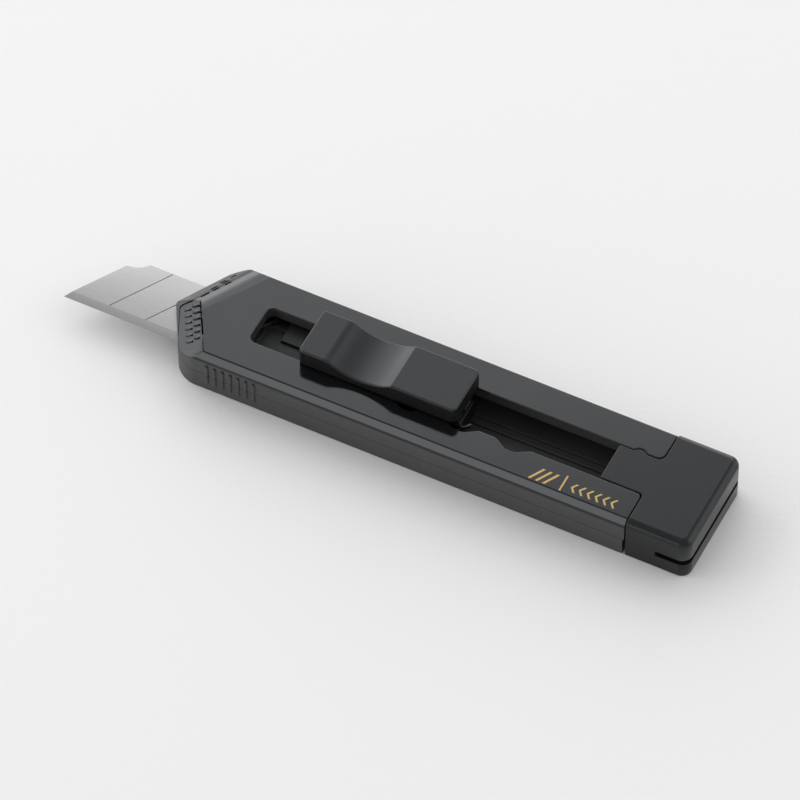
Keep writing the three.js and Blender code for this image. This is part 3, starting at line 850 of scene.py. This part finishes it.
clipped = [
    (first_corner + 1.1, blade_high.y - 0.8), (first_corner + 0.5, blade_high.y - 1.17),
]
strip = prism([
    (blade_low.x, blade_low.y), (blade_high.x, blade_low.y), (blade_high.x, blade_high.y),
    (first_corner + 1.95, blade_high.y), *clipped, (first_corner - 0.72, blade_high.y - 1.35),
], blade_low.z, blade_high.z)
round_upright(strip, clipped, 1.0, 6)
middle = (blade_low.z + blade_high.z) / 2
for up in (-1, 1):
    drop = (blade_high.z - blade_low.z) / 2 - EDGE_HALF_THICKNESS
    slice_off(
        strip, (0, blade_low.y, middle + up * EDGE_HALF_THICKNESS),
        Vector((0, -drop, up * GRIND_WIDTH)),
    )
score_count = int((blade_high.x - blade_low.x - lean - 4) / SEGMENT_PITCH)
for i in range(1, score_count + 1):
    foot = blade_low.x + i * SEGMENT_PITCH + GRIND_WIDTH * SNAP_SLANT
    rise = blade_high.y - blade_low.y - GRIND_WIDTH + 1
    score = prism([
        (foot, blade_low.y + GRIND_WIDTH), (foot + SCORE_WIDTH, blade_low.y + GRIND_WIDTH),
        (foot + SCORE_WIDTH + rise * SNAP_SLANT, blade_high.y + 1),
        (foot + rise * SNAP_SLANT, blade_high.y + 1),
    ], blade_high.z - SCORE_DEPTH, blade_high.z + 1)
    strip = combine(strip, score)
hole = bmesh.new()
bmesh.ops.create_cone(
    hole, cap_ends=True, segments=48, radius1=HOLE_RADIUS, radius2=HOLE_RADIUS, depth=3,
    matrix=Matrix.Translation((PEG_X, (blade_low.y + blade_high.y) / 2, blade_low.z)),
)
strip = combine(strip, hole)
for face in strip.faces:
    face.normal_update()
    by_the_edge = face.calc_center_median().y < blade_low.y + GRIND_WIDTH
    face.material_index = 1 if by_the_edge and abs(face.normal.y) > 0.05 else 0
blade_flat = bright_steel(
    "blade_flat_steel", (0.39, 0.386, 0.386), 0.36, 0.15, (0.05, 1, 1), 0.0006, 0.03,
)
blade_ground = bright_steel(
    "blade_ground_steel", (0.32, 0.311, 0.308), 0.38, 0.16, (1, 0.1, 1), 0.003, 0.06,
)
finish_piece(
    strip, "snap_off_blade", [blade_flat, blade_ground], "slider", ["blade"],
)

# ---------------------------------------------------------------------------------------------
# Gold print. A thin foil mark pressed on the roof beside the slot's rear end: three slanted bars,
# a rule and a row of small arrowheads that point the way the blade comes out.

PRINT_HEIGHT = 0.02
SLANT_COUNT, SLANT_PITCH, SLANT_WIDTH = 3, 0.95, 0.35
SLANT_NEAR, SLANT_FAR = -6.75, -4.75
RULE_FRONT, RULE_REAR, RULE_NEAR, RULE_FAR = 18.75, 18.98, -6.85, -4.4
ARROW_COUNT, ARROW_PITCH, FIRST_ARROW, ARROW_MIDDLE = 6, 1.05, 19.9, -5.75
ARROW_LENGTH, ARROW_SPAN, ARROW_WEIGHT = 0.5, 1.35, 0.3


def arrowhead(tip):
    """An outline of an open arrowhead that points to the nose."""
    near, far = ARROW_MIDDLE - ARROW_SPAN / 2, ARROW_MIDDLE + ARROW_SPAN / 2
    tail = tip + ARROW_LENGTH
    return [
        (tip, ARROW_MIDDLE), (tail, near), (tail + ARROW_WEIGHT, near),
        (tip + ARROW_WEIGHT, ARROW_MIDDLE), (tail + ARROW_WEIGHT, far), (tail, far),
    ]


foil = bmesh.new()


def add_foil(outline):
    """Adds one mark with the given outline to the print."""
    mark = prism(outline, body_top, body_top + PRINT_HEIGHT)
    mesh = bpy.data.meshes.new("work")
    mark.to_mesh(mesh)
    mark.free()
    foil.from_mesh(mesh)
    bpy.data.meshes.remove(mesh)


for i in range(SLANT_COUNT):
    foot, head = 14.6 + i * SLANT_PITCH, 15.75 + i * SLANT_PITCH
    add_foil([
        (foot, SLANT_NEAR), (foot + SLANT_WIDTH, SLANT_NEAR),
        (head + SLANT_WIDTH, SLANT_FAR), (head, SLANT_FAR),
    ])
add_foil([
    (RULE_FRONT, RULE_NEAR), (RULE_REAR, RULE_NEAR), (RULE_REAR, RULE_FAR), (RULE_FRONT, RULE_FAR),
])
for i in range(ARROW_COUNT):
    add_foil(arrowhead(FIRST_ARROW + i * ARROW_PITCH))
gold = bright_steel("gold_foil", (0.4, 0.28, 0.115), 0.35, 0.1, (1, 1, 1), 0.001)
finish_piece(foil, "gold_print", [gold], "housing")

# ---------------------------------------------------------------------------------------------
# The white table under the knife, the soft lights round it and the camera.

TABLE_HALF_WIDTH = 1.5
WORLD_BRIGHTNESS = 0.53

table = bmesh.new()
bmesh.ops.create_grid(table, x_segments=1, y_segments=1, size=TABLE_HALF_WIDTH)
table_mesh = bpy.data.meshes.new("table_top")
table.to_mesh(table_mesh)
table.free()
table_top = bpy.data.objects.new("table_top", table_mesh)
bpy.context.scene.collection.objects.link(table_top)
table_top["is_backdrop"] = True
paper = bpy.data.materials.new("white_board")
paper.use_nodes = True
paper_tree = paper.node_tree
paper_shader = paper_tree.nodes["Principled BSDF"]
paper_shader.inputs["Base Color"].default_value = (0.8, 0.8, 0.8, 1)
paper_shader.inputs["Roughness"].default_value = 0.9
paper_place = paper_tree.nodes.new("ShaderNodeTexCoord")
paper_tooth = paper_tree.nodes.new("ShaderNodeTexNoise")
paper_tooth.inputs["Scale"].default_value = 1 / (0.9 * MM)
paper_tooth.inputs["Detail"].default_value = 4
paper_bump = paper_tree.nodes.new("ShaderNodeBump")
paper_bump.inputs["Strength"].default_value = 1.0
paper_bump.inputs["Distance"].default_value = 0.03 * MM
link_nodes(
    paper_tree,
    (paper_place.outputs["Object"], paper_tooth.inputs["Vector"]),
    (paper_tooth.outputs["Fac"], paper_bump.inputs["Height"]),
    (paper_bump.outputs["Normal"], paper_shader.inputs["Normal"]),
)
table_mesh.materials.append(paper)


def softbox(name, direction, distance, width, height, watts):
    """A soft rectangular light that looks at the knife."""
    data = bpy.data.lights.new(name, "AREA")
    data.shape = "RECTANGLE"
    data.size = width
    data.size_y = height
    data.energy = watts
    lamp = bpy.data.objects.new(name, data)
    towards = Vector(direction).normalized()
    lamp.location = towards * distance
    lamp.rotation_mode = "QUATERNION"
    lamp.rotation_quaternion = towards.to_track_quat("Z", "Y")
    bpy.context.scene.collection.objects.link(lamp)


softbox("window", (-0.5, 0.7, 0.455), 1.4, 2.2, 1.36, 16.2)
softbox("window_sill", (-0.6, 0.7, 0.24), 1.5, 1.8, 0.32, 2.5)
softbox("left_wall", (-1, -0.15, 0.42), 1.4, 1.4, 0.9, 7.5)
softbox("back_wall", (0.8, 0.6, 0.45), 1.5, 1.8, 1.4, 8)
softbox("front_card", (-0.84, -1, 0.36), 1.2, 1.3, 0.3, 3)
world = bpy.data.worlds.new("studio")
world.use_nodes = True
sky = world.node_tree.nodes["Background"]
sky.inputs["Color"].default_value = (1, 1, 1, 1)
sky.inputs["Strength"].default_value = WORLD_BRIGHTNESS
bpy.context.scene.world = world
bpy.context.scene.view_settings.view_transform = "Standard"

CAMERA_TARGET = Vector((-0.005331, -0.000984, 0.0034))
CAMERA_AZIMUTH = math.radians(26.26)
CAMERA_ELEVATION = math.radians(51.74)
CAMERA_ROLL = math.radians(0.297)
CAMERA_DISTANCE = 0.9581
lens = bpy.data.cameras.new("camera")
lens.lens = 355.54
lens.sensor_width = 36
lens.clip_start = 0.05
camera = bpy.data.objects.new("camera", lens)
back = Vector((
    math.sin(CAMERA_AZIMUTH) * math.cos(CAMERA_ELEVATION),
    -math.cos(CAMERA_AZIMUTH) * math.cos(CAMERA_ELEVATION),
    math.sin(CAMERA_ELEVATION),
))
camera.location = CAMERA_TARGET + back * CAMERA_DISTANCE
turn = (-back).to_track_quat("-Z", "Y").to_matrix() @ Matrix.Rotation(CAMERA_ROLL, 3, "Z")
camera.rotation_mode = "QUATERNION"
camera.rotation_quaternion = turn.to_quaternion()
bpy.context.scene.collection.objects.link(camera)
bpy.context.scene.camera = camera

seen_low, seen_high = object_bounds()
corners = {"cad": [list(cad_low), list(cad_high)], "visual": [list(seen_low), list(seen_high)]}
